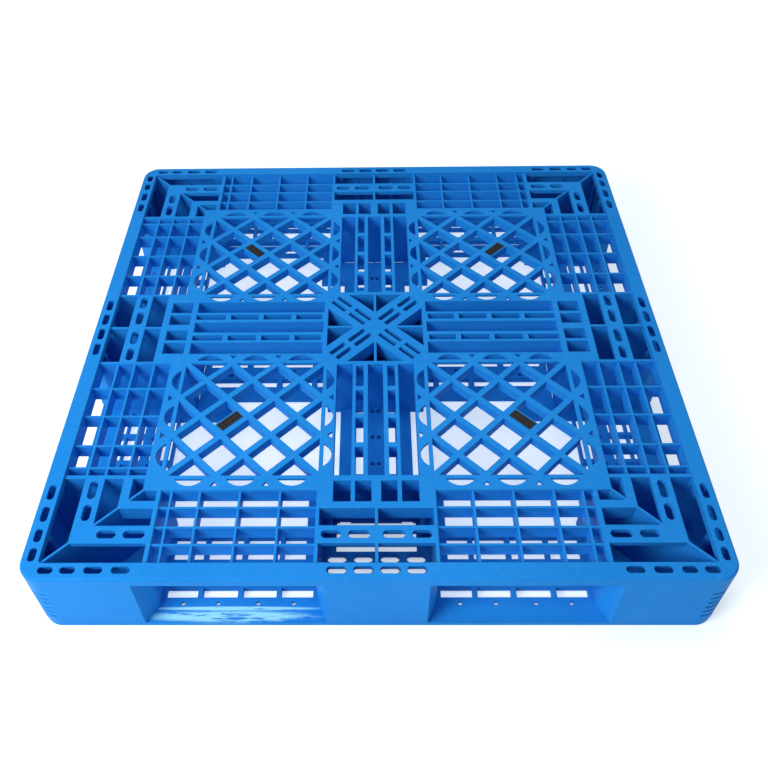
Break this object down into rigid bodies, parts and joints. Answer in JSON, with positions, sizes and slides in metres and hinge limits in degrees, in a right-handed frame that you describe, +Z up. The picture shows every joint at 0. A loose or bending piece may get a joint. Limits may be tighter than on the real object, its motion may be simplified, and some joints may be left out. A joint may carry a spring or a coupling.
{
  "type": "plastic pallet",
  "caption": "Square four-way plastic pallet with a ribbed grid deck on hollow feet over a flat skid frame, with rubber anti-slip inserts.",
  "frame": {"origin": "on the floor under the centre of the pallet", "axes": "+Z up; X and Y along the sides, -Y being the side called front and -X the side called left"},
  "size_m": [1.1, 1.1, 0.15],
  "materials": {
    "deck_plastic": "satin moulded polyethylene",
    "skid_plastic": "satin moulded polyethylene",
    "insert_rubber": "matt black",
    "screw_steel": "zinc plated"
  },
  "bodies": {
    "root": {"deck": "deck_plastic", "skid_frame": "skid_plastic", "anti_slip_insert_front_left": "insert_rubber", "anti_slip_insert_front_right": "insert_rubber", "anti_slip_insert_back_left": "insert_rubber", "anti_slip_insert_back_right": "insert_rubber", "foot_screws": "screw_steel"}
  },
  "joints": []
}
